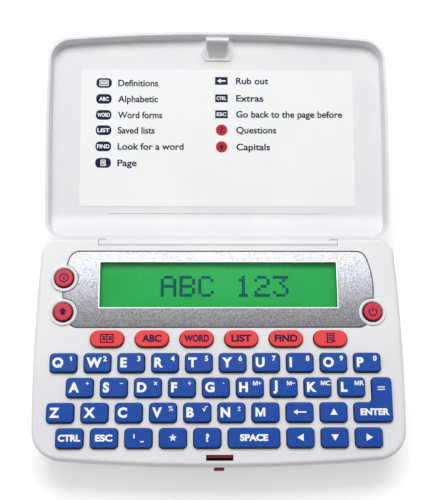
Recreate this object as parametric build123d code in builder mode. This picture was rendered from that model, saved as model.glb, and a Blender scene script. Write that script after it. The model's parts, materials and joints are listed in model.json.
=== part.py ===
from build123d import *
import math
import os

# Electronic dictionary with a hinged lid, lying open on a table. Millimetres, +Z up.
# The origin is the centre of the base's underside, +Y points to the hinge, +X to the right.

os.makedirs("parts", exist_ok=True)

# ---------------------------------------------------------------- batteries
cell_radius = 5.25
cell_length = 44.5
nub_length = 0.8
nub_radius = 1.9
cell_gap = 0.5
contact_room = 2.75
compartment_wall = 1.0
roof_thickness = 1.0
roof_gap = 0.2
compartment_rear_inset = 8.4
door_border = 1.6
door_thickness = 1.15
door_recess = 0.35
door_clearance = 0.15
door_corner = 3.0
door_rib_height = 1.0
cell_play = 0.1  # between the door and the cells
grip_count = 5
grip_pitch = 1.6
contact_thickness = 0.4
contact_size = 8.0

compartment_length = cell_length + 2 * contact_room
compartment_depth = 4 * cell_radius + 3 * cell_gap
door_top = door_recess + door_thickness
cell_z = door_top + cell_play + cell_radius
roof_z = cell_z + cell_radius + roof_gap
cell_rows = (cell_radius + cell_gap / 2, -cell_radius - cell_gap / 2)

# ---------------------------------------------------------------- base case
base_width = 132.4
base_depth = 83.2
parting_height = 10.0  # the two case halves meet here
widest_y = -8.0  # the bowed sides are widest here
rear_narrowing = 1.8  # half width lost at the rear corners
front_narrowing = 0.7  # half width lost at the front corners
front_bow = 3.1  # the front edge bulges forward by this much
rear_corner = 6.5
front_corner = 10.5
upper_draft = 0.4  # the upper case draws in by this much down to the seam
lower_draft = 2.2  # and the lower case by this much down to the underside
side_wall = 1.8
top_wall = 2.0
glass_room = 0.2  # between the battery compartment and the display glass
glass_thickness = 2.4
glass_play = 0.1
floor_wall = 2.2
top_round = 1.4
bottom_round = 1.0
seam_chamfer = 0.2
tongue_width = 0.8
tongue_height = 1.2
seam_clearance = 0.1
plinth_height = 0.4  # raised field on the underside, on which the base rests
plinth_side_inset = 16.2
plinth_front_inset = 7.6
plinth_rear_inset = 5.2

glass_z = roof_z + roof_thickness + glass_room
base_height = glass_z + glass_thickness + glass_play + top_wall
front_y = -base_depth / 2
rear_y = base_depth / 2
plate_z = base_height - top_wall  # underside of the keyboard plate
compartment_rear_y = rear_y - compartment_rear_inset
compartment_y = compartment_rear_y - compartment_depth / 2
compartment_front_y = compartment_rear_y - compartment_depth - compartment_wall

# ---------------------------------------------------------------- hinge
hinge_inset = 2.0  # from the rear face to the axis
hinge_drop = 1.4  # from the top face to the axis
barrel_radius = 1.5
barrel_length = 87.8
barrel_clearance = 0.2
pin_radius = 0.75
pin_length = 2.6
pin_clearance = 0.05  # running fit of the stub pins
web_half = 0.9  # half width of the web that stands on the barrel
web_thickness = 1.6
relief_length = 2.4  # the web stops short of the barrel's ends
hinge_bar_wall = 1.3
open_angle = 172.0  # from closed to the stop

hinge_y = rear_y - hinge_inset
hinge_z = base_height - hinge_drop
lid_tilt = 180.0 - open_angle

# ---------------------------------------------------------------- lid
lid_side_inset = 1.7
lid_front_overhang = 1.5  # the closed lid stands out past the base's front by this much
lid_hinge_gap = 0.4  # between the base's rear face and the open lid
lid_seat_gap = 0.2  # between the closed rim and the base's top
lid_cavity = 4.2
lid_wall = 1.6
lid_lip = 1.1
lid_near_narrowing = 0.7
lid_far_narrowing = 0.4
lid_near_corner = 7.0
lid_far_corner = 9.0
lid_draft = 1.0
lid_cavity_draft = 0.9
lid_edge_round = 2.2
lid_ramp = 9.0  # the floor rises to the near lip over this length
lid_crease_width = 0.35
lid_crease_depth = 0.25
lid_crease_half = 41.3
pad_half = 5.9
pad_length = 9.25
pad_height = 0.5
pad_chamfer = 1.15

rim = -(hinge_drop + lid_seat_gap)  # rim plane, measured from the axis along the lid's normal
lid_floor = rim - lid_cavity
lid_back = lid_floor - lid_wall
lid_near = hinge_inset + lid_hinge_gap
lid_far = hinge_y - front_y + lid_front_overhang
lid_plane = Plane(
    origin=(0, hinge_y, hinge_z),
    x_dir=(1, 0, 0),
    z_dir=(0, -math.sin(math.radians(lid_tilt)), math.cos(math.radians(lid_tilt))),
)

# ---------------------------------------------------------------- latch and hook
slot_width = 9.5
slot_depth = 2.1
slot_front_wall = 1.9  # from the front face to the slot
slot_relief = 1.0  # plate thickness left around the slot
hook_width = 8.5
hook_thickness = 0.9
hook_play = 0.15  # between the hook and the slot's front edge
hook_reach = 3.6  # past the rim
hook_lead = 0.3  # chamfers of the hook's tip
barb_length = 0.65
barb_height = 1.2
gusset_length = 5.2
gusset_narrow = 5.6
latch_travel = 0.8
latch_play = 0.1
ledge_width = 8.8
ledge_depth = 1.5
ledge_height = 0.9
riser_thickness = 0.8
slider_width = 12.0
slider_thickness = 1.6
slider_length = 7.0
slider_z = 6.6
latch_button_width = 3.7
latch_button_height = 2.6
latch_button_reach = 0.45  # past the base's front face
slider_clearance = 0.15
guide_thickness = 1.0
guide_height = 2.5
rail_width = 1.2
spring_arm_reach = 6.0
spring_arm_rise = 1.5
spring_arm_thickness = 0.9
wedge_gap = 0.25
wedge_length = 2.4
wedge_slope = 0.15

slot_front_y = front_y + slot_front_wall
hook_front_y = slot_front_y + hook_play  # where the closed hook stands
hook_rear_y = hook_front_y + hook_thickness
ledge_top = base_height - slot_relief - latch_play
ledge_bottom = ledge_top - ledge_height
ledge_front_y = hook_rear_y + hook_play
ledge_rear_y = ledge_front_y + ledge_depth
slider_rear_y = ledge_rear_y + slider_length
hook_tip = rim + hook_reach  # along the lid's normal
relief_z = hinge_z - hook_tip - slot_relief / 2

# ---------------------------------------------------------------- display
bezel_rear_inset = 5.1  # from the rear face
bezel_depth = 28.7
bezel_side_inset = 12.9  # from the base's side to the surround's corners
bezel_side_bulge = 3.1
bezel_corner = 4.0
bezel_seat = 1.4  # depth of its recess in the case
bezel_crown = 0.7
bezel_edge = 0.05
bezel_clearance = 0.2
bezel_edge_round = 0.4
window_width = 86.2
window_depth = 17.1
window_shift = 1.55  # towards the hinge from the middle of the surround
window_corner = 0.8
window_bevel = 0.5
pane_border = 2.0
pane_thickness = 0.8
pane_clearance = 0.1
glass_border = 1.4
flex_width = 40.0
flex_thickness = 0.2
flex_room = 2.0  # between the board and the battery compartment
flex_tail = 4.0  # under the board
lcd_rib = 1.0
lcd_rib_height = 1.8

bezel_half = base_width / 2 - bezel_side_inset
bezel_rear_y = rear_y - bezel_rear_inset
bezel_front_y = bezel_rear_y - bezel_depth
bezel_middle_y = bezel_rear_y - bezel_depth / 2
window_y = bezel_middle_y + window_shift
bezel_base_z = base_height - bezel_seat
glass_width = window_width + 2 * glass_border
glass_depth = window_depth + 2 * glass_border

# ---------------------------------------------------------------- keyboard
key_gap = 2.45  # between neighbours in a row
row_gap = 2.0
key_corner = 1.4
key_rise = 1.5  # above the base's top face
key_edge_round = 0.45
key_clearance = 0.25
key_wall = 1.1
key_roof = 1.4
key_play = 0.05
flange_width = 0.6
flange_thickness = 0.8
plunger_radius = 1.6
front_margin = 9.7  # from the front face to the middle of the bottom row
q_inset = 11.0  # from the base's side to the middle of the row's first key
p_inset = 13.4  # from the other side to the middle of its last key
z_shift = -0.6  # from the Q row's first key to the Z row's
bottom_inset = 13.9  # from either side to the bottom row's outer keys
enter_inset = 5.15
oval_width = 12.1
oval_depth = 6.1
oval_pitch = 16.0
oval_spacing = 8.7  # from the Q row to the ovals
oval_inset = 4.3  # from the display's surround to the middle of the ovals
round_key_radius = 3.35
round_key_rise = 1.3
pocket_radius = 4.7
pocket_depth = 1.2
pocket_clearance = 0.3
round_left_inset = 10.2  # from the base's side
round_right_inset = 10.5
round_spacing = 12.6
round_rear_inset = 15.6  # from the rear face to the rear round key

q_count = 10
q_start = q_inset - base_width / 2
key_pitch = (base_width - q_inset - p_inset) / (q_count - 1)
key_width = key_pitch - key_gap
a_start = q_start + key_pitch / 2
z_start = q_start + z_shift
c_start = bottom_inset - base_width / 2
arrows_start = base_width / 2 - bottom_inset - 2 * key_pitch

row_oval = bezel_front_y - oval_inset
row_q = row_oval - oval_spacing
row_c = front_y + front_margin
row_pitch = (row_q - row_c) / 3
key_depth = row_pitch - row_gap
row_z = row_c + row_pitch
row_a = row_z + row_pitch
round_left_x = round_left_inset - base_width / 2
round_right_x = base_width / 2 - round_right_inset
round_rear_y = rear_y - round_rear_inset
round_front_y = round_rear_y - round_spacing
flange_z = plate_z - key_play - flange_thickness
key_top = base_height + key_rise

# ---------------------------------------------------------------- board and mat
board_thickness = 1.6
board_margin = 0.5  # to the case's inner wall
wing_gap = 1.3  # between the display glass and the board's wings
mat_thickness = 1.0
mat_margin = 0.8
dome_base_radius = 2.6
dome_top_radius = 1.9
dome_skin = 0.6
chip_radius = 6.0
chip_height = 1.2

board_z = parting_height
board_top = board_z + board_thickness
wing_front_y = compartment_front_y - flex_room  # the board's rear edge between its wings
mat_top = board_top + mat_thickness
inner_offset = upper_draft + side_wall

# ---------------------------------------------------------------- screws
screw_radius = 1.0
screw_head_radius = 1.8
screw_head_height = 1.4
screw_length = 11.5
screw_slot = 0.5
screw_clearance = 0.2
thread_clearance = 0.05
boss_radius = 2.2
head_seat = 3.4
screw_corner_inset = 5.9  # the insets are from the base's sides
screw_front_inset = 10.6
screw_rear_side_inset = 9.7
screw_rear_inset = 7.4
screw_middle_inset = 12.7

screw_top = head_seat + screw_length
lower_boss_radius = screw_head_radius + screw_clearance + 0.9

screw_points = [
    (side * (base_width / 2 - inset), y)
    for side in (-1, 1)
    for inset, y in (
        (screw_corner_inset, front_y + screw_front_inset),
        (screw_middle_inset, row_oval),
        (screw_rear_side_inset, rear_y - screw_rear_inset),
    )
]


# ================================================================ outlines
def bowed_outline(rear, front, near_half, wide_half, far_half, wide_at, bow, radii):
    """Plan outline with a straight rear edge, bowed sides and a bowed front edge."""
    far = front + math.copysign(bow, rear - front)
    with BuildSketch() as outline:
        with BuildLine():
            Line((-near_half, rear), (near_half, rear))
            ThreePointArc((near_half, rear), (wide_half, wide_at), (far_half, far))
            ThreePointArc((far_half, far), (0, front), (-far_half, far))
            ThreePointArc((-far_half, far), (-wide_half, wide_at), (-near_half, rear))
        make_face()
        for edge_y, radius in zip((rear, far), radii):
            corners = outline.vertices().filter_by(lambda v: abs(v.Y - edge_y) < 0.01)
            fillet(corners, radius)
    return outline.sketch


def loft_down(outline, start, start_inset, stop, stop_inset, mode=Mode.ADD):
    """Solid between an outline at one height and the same outline, inset, at another."""
    with BuildSketch(start) as first:
        add(outline)
        if start_inset:
            offset(amount=-start_inset)
    with BuildSketch(stop) as last:
        add(outline)
        offset(amount=-stop_inset)
    loft(sections=[first.sketch, last.sketch], ruled=True, mode=mode)


def prism(outline, plane, inset, height, mode=Mode.ADD):
    """Straight solid on an outline that is moved in by inset."""
    with BuildSketch(plane) as plan:
        add(outline)
        if inset:
            offset(amount=-inset)
    extrude(plan.sketch, amount=height, mode=mode)


def level(z):
    return Plane.XY.offset(z)


def finish(builder, name):
    builder.part.label = name
    export_step(builder.part, f"parts/{name}.step")


base_outline = bowed_outline(
    rear_y,
    front_y,
    base_width / 2 - rear_narrowing,
    base_width / 2,
    base_width / 2 - front_narrowing,
    widest_y,
    front_bow,
    (rear_corner, front_corner),
)

lid_half = base_width / 2 - lid_side_inset
lid_outline = bowed_outline(
    lid_near,
    lid_far,
    lid_half - lid_near_narrowing,
    lid_half,
    lid_half - lid_far_narrowing,
    hinge_y - widest_y,
    front_bow,
    (lid_near_corner, lid_far_corner),
)

with BuildSketch() as bezel_sketch:
    bulge = bezel_half + bezel_side_bulge
    with BuildLine():
        Line((-bezel_half, bezel_rear_y), (bezel_half, bezel_rear_y))
        ThreePointArc(
            (bezel_half, bezel_rear_y),
            (bulge, bezel_middle_y),
            (bezel_half, bezel_front_y),
        )
        Line((bezel_half, bezel_front_y), (-bezel_half, bezel_front_y))
        ThreePointArc(
            (-bezel_half, bezel_front_y),
            (-bulge, bezel_middle_y),
            (-bezel_half, bezel_rear_y),
        )
    make_face()
    fillet(bezel_sketch.vertices(), bezel_corner)
bezel_outline = bezel_sketch.sketch


def board_outline(inset):
    """Plan of the board, or of what lies on it with its edges moved in by inset."""
    margin = board_margin + inset
    bar_y = hinge_y - barrel_radius - barrel_clearance - hinge_bar_wall
    riser_y = ledge_rear_y + latch_travel + wedge_gap
    with BuildSketch() as plan:
        add(base_outline)
        offset(amount=-inner_offset - margin)
        with Locations((0, bar_y - margin)):
            Rectangle(
                base_width, base_depth, align=(Align.CENTER, Align.MIN), mode=Mode.SUBTRACT
            )
        with Locations((0, wing_front_y - inset)):
            Rectangle(
                glass_width + 2 * (wing_gap + inset),
                base_depth,
                align=(Align.CENTER, Align.MIN),
                mode=Mode.SUBTRACT,
            )
        with Locations((0, riser_y + inset)):
            Rectangle(
                ledge_width + 2 * (board_margin + margin),
                base_depth,
                align=(Align.CENTER, Align.MAX),
                mode=Mode.SUBTRACT,
            )
    return plan.sketch


# ================================================================ keys
def row_centres(start, y, count):
    return [(start + index * key_pitch, y) for index in range(count)]


def cap_outline(x, y, width=key_width):
    with BuildSketch() as cap:
        with Locations((x, y)):
            RectangleRounded(width, key_depth, key_corner)
    return cap.sketch


def oval_outline(x, y):
    with BuildSketch() as oval:
        with Locations((x, y)):
            SlotOverall(oval_width, oval_depth)
    return oval.sketch


def round_outline(x, y):
    with BuildSketch() as disc:
        with Locations((x, y)):
            Circle(round_key_radius)
    return disc.sketch


enter_right = base_width / 2 - enter_inset
enter_low_left = z_start + (q_count - 1) * key_pitch - key_width / 2
enter_high_left = a_start + (q_count - 1) * key_pitch - key_width / 2
enter_low = row_z - key_depth / 2
enter_step = row_z + key_depth / 2
enter_high = row_a + key_depth / 2

with BuildSketch() as enter_sketch:
    with BuildLine():
        Polyline(
            (enter_low_left, enter_low),
            (enter_right, enter_low),
            (enter_right, enter_high),
            (enter_high_left, enter_high),
            (enter_high_left, enter_step),
            (enter_low_left, enter_step),
            close=True,
        )
    make_face()
    fillet(enter_sketch.vertices(), key_corner)

# name, plan outline, centre of the plunger, height of the top face
blue_names = {
    "q": row_centres(q_start, row_q, q_count),
    "a": row_centres(a_start, row_a, q_count - 1),
    "z": row_centres(z_start, row_z, q_count - 1),
    "c": row_centres(c_start, row_c, 5),
    "arrows": row_centres(arrows_start, row_c, 3),
}
row_names = {
    "q": "q w e r t y u i o p".split(),
    "a": "a s d f g h j k l".split(),
    "z": "z x c v b n m backspace up".split(),
    "c": "ctrl esc apostrophe star question".split(),
    "arrows": "left down right".split(),
}
space_left = blue_names["c"][-1][0] + key_width / 2 + key_gap
space_right = arrows_start - key_width / 2 - key_gap
space_x = (space_left + space_right) / 2
space_width = space_right - space_left

keys = []
for row, centres in blue_names.items():
    for letter, (x, y) in zip(row_names[row], centres):
        keys.append((f"key_{letter}", cap_outline(x, y), (x, y), key_top))
keys.append(("key_space", cap_outline(space_x, row_c, space_width), (space_x, row_c), key_top))
enter_middle = (enter_high_left + enter_right) / 2
keys.append(("key_enter", enter_sketch.sketch, (enter_middle, enter_step), key_top))

oval_names = "book abc word list find page".split()
for index, oval_name in enumerate(oval_names):
    x = (index - 2.5) * oval_pitch
    keys.append((f"key_{oval_name}", oval_outline(x, row_oval), (x, row_oval), key_top))

round_keys = {
    "key_info": (round_left_x, round_rear_y),
    "key_shift": (round_left_x, round_front_y),
    "key_power": (round_right_x, round_front_y),
}
for name, (x, y) in round_keys.items():
    keys.append((name, round_outline(x, y), (x, y), base_height + round_key_rise))


def build_key(name, outline, centre, top):
    """Hollow cap with a retaining flange and a plunger over its dome."""
    with BuildPart() as key:
        prism(outline, level(flange_z), -flange_width, flange_thickness)
        prism(outline, level(flange_z), 0, top - flange_z)
        fillet(key.faces().sort_by(Axis.Z)[-1].edges(), key_edge_round)
        prism(outline, level(flange_z), key_wall, top - key_roof - flange_z, Mode.SUBTRACT)
        with BuildSketch(level(flange_z)):
            with Locations(centre):
                Circle(plunger_radius)
        extrude(amount=top - key_roof - flange_z)
    finish(key, name)


for key_entry in keys:
    build_key(*key_entry)


# ================================================================ upper case
def round_pockets():
    """Conical pockets with the round keys' holes, cut through whatever lies there."""
    slope = (pocket_radius - round_key_radius - pocket_clearance) / pocket_depth
    hole = round_key_radius + pocket_clearance
    height = pocket_depth + bezel_crown + bezel_edge
    for x, y in round_keys.values():
        with Locations((x, y, base_height - pocket_depth)):
            Cone(
                hole,
                hole + slope * height,
                height,
                align=(Align.CENTER, Align.CENTER, Align.MIN),
                mode=Mode.SUBTRACT,
            )
        with Locations((x, y, base_height)):
            Cylinder(
                hole,
                2 * top_wall,
                align=(Align.CENTER, Align.CENTER, Align.MAX),
                mode=Mode.SUBTRACT,
            )


trough_radius = barrel_radius + barrel_clearance
trough_half = barrel_length / 2 + barrel_clearance
web_reach = math.hypot(web_half, -rim + web_thickness)
trough_floor = hinge_z - web_reach - lid_hinge_gap
bar_front_y = hinge_y - trough_radius - hinge_bar_wall
bar_z = trough_floor - hinge_bar_wall

with BuildPart() as upper_case:
    loft_down(base_outline, level(base_height), 0, level(parting_height), upper_draft)
    fillet(upper_case.faces().sort_by(Axis.Z)[-1].edges(), top_round)
    prism(
        base_outline,
        level(parting_height),
        inner_offset,
        plate_z - parting_height,
        Mode.SUBTRACT,
    )
    prism(
        base_outline,
        level(parting_height),
        inner_offset - tongue_width - seam_clearance,
        tongue_height + seam_clearance,
        Mode.SUBTRACT,
    )
    # solid bar behind the display, which carries the hinge
    with BuildSketch(level(bar_z)):
        add(base_outline)
        offset(amount=-inner_offset)
        with Locations((0, bar_front_y)):
            Rectangle(
                base_width,
                base_depth,
                align=(Align.CENTER, Align.MIN),
                mode=Mode.INTERSECT,
            )
    extrude(amount=plate_z - bar_z)
    with BuildSketch(Plane.YZ.offset(-trough_half)):
        with Locations((hinge_y, hinge_z)):
            Circle(trough_radius)
        with Locations((hinge_y - web_half - barrel_clearance, trough_floor)):
            Rectangle(base_depth, hinge_z - trough_floor, align=(Align.MIN, Align.MIN))
        with Locations((hinge_y, hinge_z)):
            Rectangle(base_depth, base_height, align=(Align.MIN, Align.MIN))
    extrude(amount=2 * trough_half, mode=Mode.SUBTRACT)
    with BuildSketch(Plane.YZ.offset(-trough_half - pin_length)):
        with Locations((hinge_y, hinge_z)):
            Circle(pin_radius + pin_clearance)
    extrude(amount=2 * (trough_half + pin_length), mode=Mode.SUBTRACT)
    # openings for the caps
    with BuildSketch(level(plate_z)):
        for _, outline, _, _ in keys[: -len(round_keys)]:
            add(outline)
        offset(amount=key_clearance)
    extrude(amount=top_wall, mode=Mode.SUBTRACT)
    # seat of the display surround, and the display's opening through the ledge under it
    prism(bezel_outline, level(bezel_base_z), -bezel_clearance, bezel_seat, Mode.SUBTRACT)
    with BuildSketch(level(plate_z)):
        with Locations((0, window_y)):
            Rectangle(window_width + pane_border, window_depth + pane_border)
    extrude(amount=top_wall, mode=Mode.SUBTRACT)
    round_pockets()
    # latch slot, with the plate thinned round it
    with BuildSketch(level(base_height)):
        with Locations((0, slot_front_y)):
            Rectangle(slot_width, slot_depth, align=(Align.CENTER, Align.MIN))
    extrude(amount=-top_wall, mode=Mode.SUBTRACT)
    with BuildSketch(level(relief_z)):
        with Locations((0, slot_front_y)):
            Rectangle(
                slider_width,
                ledge_rear_y + latch_travel + latch_play - slot_front_y,
                align=(Align.CENTER, Align.MIN),
            )
    extrude(amount=base_height - slot_relief - relief_z, mode=Mode.SUBTRACT)
    # locating rib round the display glass
    with BuildSketch(level(plate_z)):
        with Locations((0, window_y)):
            rib_gap = 2 * glass_play
            rib_span = rib_gap + 2 * lcd_rib
            Rectangle(glass_width + rib_span, glass_depth + rib_span)
            Rectangle(glass_width + rib_gap, glass_depth + rib_gap, mode=Mode.SUBTRACT)
    extrude(amount=-lcd_rib_height)
    # screw bosses down to the board
    with BuildSketch(level(board_top)):
        with Locations(*screw_points):
            Circle(boss_radius)
    extrude(amount=plate_z - board_top)
    with BuildSketch(level(board_top)):
        with Locations(*screw_points):
            Circle(screw_radius + thread_clearance)
    extrude(amount=screw_top - board_top + screw_clearance, mode=Mode.SUBTRACT)
finish(upper_case, "upper_case")


# ================================================================ lower case
slider_front_y = front_y + inner_offset + lower_draft / 2 + slider_clearance
opening_z = slider_z - slider_clearance
guide_x = slider_width / 2 + slider_clearance + guide_thickness / 2
arm_x = slider_width / 2 + spring_arm_reach
arm_y = slider_rear_y + spring_arm_rise

with BuildPart() as lower_case:
    lower_inset = upper_draft + lower_draft
    bottom = level(plinth_height)
    loft_down(base_outline, level(parting_height), upper_draft, bottom, lower_inset)
    fillet(lower_case.faces().sort_by(Axis.Z)[0].edges(), bottom_round)
    chamfer(lower_case.faces().sort_by(Axis.Z)[-1].edges(), seam_chamfer)
    loft_down(
        base_outline,
        level(parting_height),
        inner_offset,
        level(floor_wall),
        inner_offset + lower_draft,
        Mode.SUBTRACT,
    )
    # tongue that locates the upper case
    with BuildSketch(level(parting_height)):
        add(base_outline)
        offset(amount=tongue_width - inner_offset)
        inner = offset(base_outline, amount=-inner_offset, mode=Mode.PRIVATE)
        add(inner, mode=Mode.SUBTRACT)
    extrude(amount=tongue_height)
    # raised field that the base rests on
    with BuildSketch(level(0)):
        with Locations((0, front_y + plinth_front_inset)):
            Rectangle(
                base_width - 2 * plinth_side_inset,
                base_depth - plinth_front_inset - plinth_rear_inset,
                align=(Align.CENTER, Align.MIN),
            )
    extrude(amount=floor_wall / 2)
    # battery compartment, open below, with a seat for its door
    with BuildSketch(level(floor_wall / 2)):
        with Locations((0, compartment_y)):
            Rectangle(
                compartment_length + 2 * compartment_wall,
                compartment_depth + 2 * compartment_wall,
            )
    extrude(amount=roof_z + roof_thickness - floor_wall / 2)
    with BuildSketch(level(0)):
        with Locations((0, compartment_y)):
            Rectangle(compartment_length, compartment_depth)
    extrude(amount=roof_z, mode=Mode.SUBTRACT)
    with BuildSketch(level(0)):
        with Locations((0, compartment_y)):
            RectangleRounded(
                compartment_length + 2 * door_border,
                compartment_depth + 2 * door_border,
                door_corner,
            )
    extrude(amount=door_top, mode=Mode.SUBTRACT)
    # screw bosses that carry the board
    with BuildSketch(level(floor_wall)):
        with Locations(*screw_points):
            Circle(lower_boss_radius)
    extrude(amount=board_z - floor_wall)
    with BuildSketch(level(0)):
        with Locations(*screw_points):
            Circle(screw_head_radius + screw_clearance)
    extrude(amount=head_seat, mode=Mode.SUBTRACT)
    with BuildSketch(level(0)):
        with Locations(*screw_points):
            Circle(screw_radius + screw_clearance)
    extrude(amount=board_z, mode=Mode.SUBTRACT)
    # opening for the latch button in the front wall
    with BuildSketch(Plane.XZ.offset(-slider_front_y)):
        with Locations((0, opening_z)):
            Rectangle(
                latch_button_width + 2 * slider_clearance,
                latch_button_height + 2 * slider_clearance,
                align=(Align.CENTER, Align.MIN),
            )
    extrude(amount=slider_front_y - front_y, mode=Mode.SUBTRACT)
    # rails and side guides of the latch slider
    with BuildSketch(level(floor_wall)):
        for side in (-1, 1):
            with Locations((side * slider_width / 3, slider_rear_y)):
                Rectangle(rail_width, slider_length, align=(Align.CENTER, Align.MAX))
    extrude(amount=slider_z - key_play - floor_wall)
    with BuildSketch(level(floor_wall)):
        for side in (-1, 1):
            with Locations((side * guide_x, slider_rear_y - 2 * spring_arm_thickness)):
                Rectangle(guide_thickness, slider_length / 2, align=(Align.CENTER, Align.MAX))
    extrude(amount=slider_z + guide_height - floor_wall)
    # wedges that bend the slider's spring arms as it is pushed in
    with BuildSketch(level(floor_wall)):
        for side in (-1, 1):
            near_x = side * (arm_x + wedge_gap)
            back_x = near_x + side * 2 * guide_thickness
            lean = side * wedge_slope * wedge_length
            with BuildLine():
                Polyline(
                    (near_x, arm_y - wedge_length / 2),
                    (back_x, arm_y - wedge_length / 2),
                    (back_x, arm_y + wedge_length / 2),
                    (near_x - lean / 2, arm_y + wedge_length / 2),
                    close=True,
                )
            make_face()
    extrude(amount=slider_z + guide_height - floor_wall)
finish(lower_case, "lower_case")


# ================================================================ latch button
with BuildPart() as latch_button:
    with BuildSketch(level(slider_z)):
        with Locations((0, slider_front_y)):
            Rectangle(
                slider_width,
                slider_rear_y - slider_front_y,
                align=(Align.CENTER, Align.MIN),
            )
        for side in (-1, 1):
            with BuildLine():
                Polyline(
                    (0, slider_rear_y),
                    (side * arm_x, arm_y),
                    (side * arm_x, arm_y - spring_arm_thickness),
                    (0, slider_rear_y - 2 * spring_arm_thickness),
                    close=True,
                )
            make_face()
    extrude(amount=slider_thickness)
    with BuildSketch(level(slider_z)):
        with Locations((0, slider_front_y)):
            Rectangle(
                latch_button_width,
                slider_front_y - front_y + latch_button_reach,
                align=(Align.CENTER, Align.MAX),
            )
    extrude(amount=latch_button_height)
    fillet(latch_button.faces().sort_by(Axis.Y)[0].edges(), latch_button_height / 6)
    with BuildSketch(level(slider_z)):
        with Locations((0, ledge_rear_y)):
            Rectangle(ledge_width, riser_thickness, align=(Align.CENTER, Align.MAX))
    extrude(amount=ledge_top - slider_z)
    with BuildSketch(level(ledge_bottom)):
        with Locations((0, ledge_rear_y)):
            Rectangle(ledge_width, ledge_depth, align=(Align.CENTER, Align.MAX))
    extrude(amount=ledge_height)
finish(latch_button, "latch_button")


# ================================================================ lid
lid_section = Plane(origin=lid_plane.origin, x_dir=lid_plane.y_dir, z_dir=(1, 0, 0))
lid_up = Axis(lid_plane.origin, lid_plane.z_dir)
near_inner = lid_near + lid_lip
hook_near = hinge_y - hook_rear_y
hook_far = hinge_y - hook_front_y


def lid_station(distance):
    """Cross plane at a distance from the hinge axis, with the lid's normal as its y."""
    centre = lid_plane.from_local_coords((0, distance, 0))
    return Plane(origin=centre, x_dir=(1, 0, 0), z_dir=-lid_plane.y_dir)


with BuildPart() as lid_hollow:
    loft_down(
        lid_outline,
        lid_plane.offset(rim),
        lid_lip,
        lid_plane.offset(lid_floor),
        lid_lip + lid_cavity_draft,
    )
    # the floor sweeps up to the near lip
    with BuildSketch(lid_section):
        with BuildLine():
            foot = (near_inner + lid_ramp, lid_floor)
            crest = (near_inner, rim - lid_seat_gap)
            TangentArc(foot, crest, tangent=(-1, 0))
            Polyline(crest, (lid_near, crest[1]), (lid_near, lid_floor), foot)
        make_face()
    extrude(amount=base_width / 2, both=True, mode=Mode.SUBTRACT)

with BuildPart() as lid:
    loft_down(lid_outline, lid_plane.offset(rim), 0, lid_plane.offset(lid_back), lid_draft)
    fillet(lid.faces().sort_by(lid_up)[0].edges(), lid_edge_round)
    add(lid_hollow.part, mode=Mode.SUBTRACT)
    # crease across the floor where it starts to rise
    with BuildSketch(lid_plane.offset(lid_floor)):
        with Locations((0, near_inner + lid_ramp)):
            Rectangle(2 * lid_crease_half, lid_crease_width)
    extrude(amount=-lid_crease_depth, mode=Mode.SUBTRACT)
    # raised pad that carries the hook
    with BuildSketch(lid_plane.offset(lid_floor)):
        pad_near = lid_far - lid_lip - pad_length
        with BuildLine():
            Polyline(
                (-pad_half, lid_far - lid_lip),
                (-pad_half, pad_near + 2 * pad_chamfer),
                (pad_chamfer - pad_half, pad_near),
                (pad_half - pad_chamfer, pad_near),
                (pad_half, pad_near + 2 * pad_chamfer),
                (pad_half, lid_far - lid_lip),
                close=True,
            )
        make_face()
    extrude(amount=pad_height)
    with BuildSketch(lid_section):
        with BuildLine():
            Polyline(
                (hook_near, lid_floor),
                (hook_far, lid_floor),
                (hook_far, hook_tip - hook_lead),
                (hook_far - hook_lead, hook_tip),
                (hook_near - barb_length + hook_lead, hook_tip),
                (hook_near - barb_length, hook_tip - hook_lead),
                (hook_near - barb_length, hook_tip - barb_height),
                (hook_near, hook_tip - barb_height),
                close=True,
            )
        make_face()
    extrude(amount=hook_width / 2, both=True)
    # gusset that narrows towards the floor
    with BuildSketch(lid_station(hook_near)):
        with Locations((0, lid_floor)):
            Rectangle(hook_width, lid_cavity - lid_seat_gap, align=(Align.CENTER, Align.MIN))
    with BuildSketch(lid_station(hook_near - gusset_length)):
        with Locations((0, lid_floor)):
            Rectangle(gusset_narrow, pad_height / 2, align=(Align.CENTER, Align.MIN))
    loft()
    # hinge barrel, its web and its stub pins
    with BuildSketch(Plane.YZ):
        with Locations((hinge_y, hinge_z)):
            Circle(barrel_radius)
    extrude(amount=barrel_length / 2, both=True)
    with BuildSketch(Plane.YZ):
        with Locations((hinge_y, hinge_z)):
            Circle(pin_radius)
    extrude(amount=barrel_length / 2 + pin_length, both=True)
    with BuildSketch(lid_section):
        with Locations((-web_half, rim - web_thickness)):
            Rectangle(2 * web_half, web_thickness - rim, align=(Align.MIN, Align.MIN))
            Rectangle(web_half + near_inner, web_thickness, align=(Align.MIN, Align.MIN))
    extrude(amount=barrel_length / 2 - relief_length, both=True)
finish(lid, "lid")


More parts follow.
